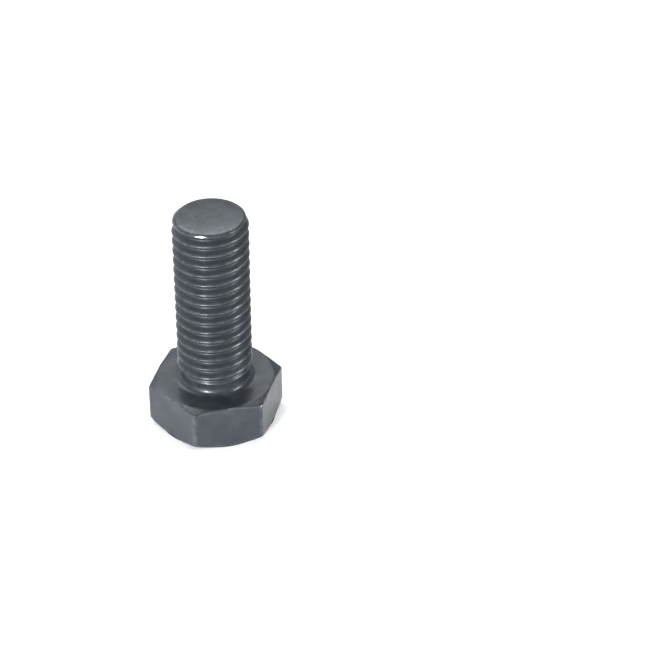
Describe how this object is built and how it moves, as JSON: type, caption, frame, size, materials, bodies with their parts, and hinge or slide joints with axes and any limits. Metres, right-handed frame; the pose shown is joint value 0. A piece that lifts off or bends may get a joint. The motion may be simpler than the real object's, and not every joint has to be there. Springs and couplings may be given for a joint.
{
  "type": "hex bolt",
  "caption": "Metric hex head screw threaded to the head, with a washer face under the head, a chamfered head top and a tapered, rounded point, in dark oiled steel.",
  "frame": {"origin": "centre of the bearing face, the washer face under the head, where the nominal length is measured from", "axes": "+Z along the bolt's axis from the head to the point, so that the bolt stands on the top of its head; +Y and +X square to it, with one corner of the hexagon at 109.3 degrees clockwise from +X"},
  "size_m": [0.0216, 0.0208, 0.0375],
  "materials": {
    "black_steel": "satin"
  },
  "bodies": {
    "root": {"hex_bolt": "black_steel"}
  },
  "joints": []
}
